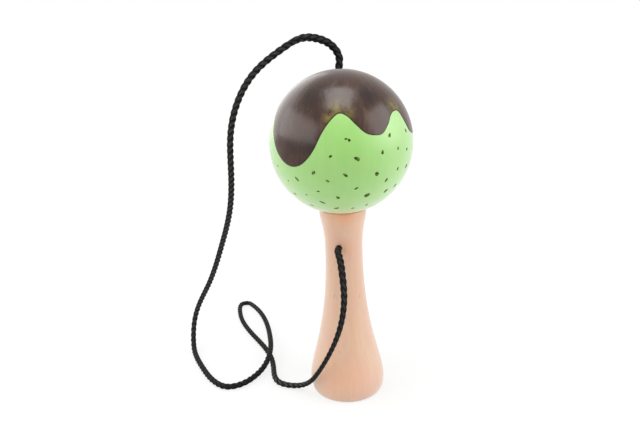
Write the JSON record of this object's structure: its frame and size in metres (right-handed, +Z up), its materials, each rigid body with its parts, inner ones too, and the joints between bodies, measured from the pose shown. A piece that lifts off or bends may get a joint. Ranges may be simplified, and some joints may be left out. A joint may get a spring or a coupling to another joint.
{
  "type": "cup and ball toy",
  "caption": "Turned wooden handle with a shallow cup in its top, a painted wooden ball that sits in the cup, and a braided cord that ties the ball to the handle's neck.",
  "frame": {"origin": "middle of the handle's flat foot, on the surface that the toy stands on", "axes": "+Z up along the turning axis of the handle and the ball, -Y the front, where the cord leaves the neck"},
  "size_m": [0.1123, 0.1269, 0.1578],
  "materials": {
    "beech": "fine-sanded pale beech under a thin satin varnish",
    "painted_wood": "mint lacquer with a glossy chocolate dip coat over the top and small dark specks",
    "braid": "round black braid, soft and slightly fuzzy"
  },
  "bodies": {
    "handle": {"handle": "beech", "handle_end_knot": "braid", "cord": "braid"},
    "cord_end": {"ball_end_knot": "braid"},
    "ball": {"ball": "painted_wood"}
  },
  "joints": [
    {"name": "ball_lift", "type": "slide", "parent": "handle", "child": "cord_end", "axis": [0, 0, 1], "range_m": [0, 0.1], "deforming": ["cord"]},
    {"name": "ball_swivel", "type": "hinge", "parent": "cord_end", "child": "ball", "pos_m": [0, 0, 0.11407], "axis": [0, 0, 1], "continuous": true}
  ]
}
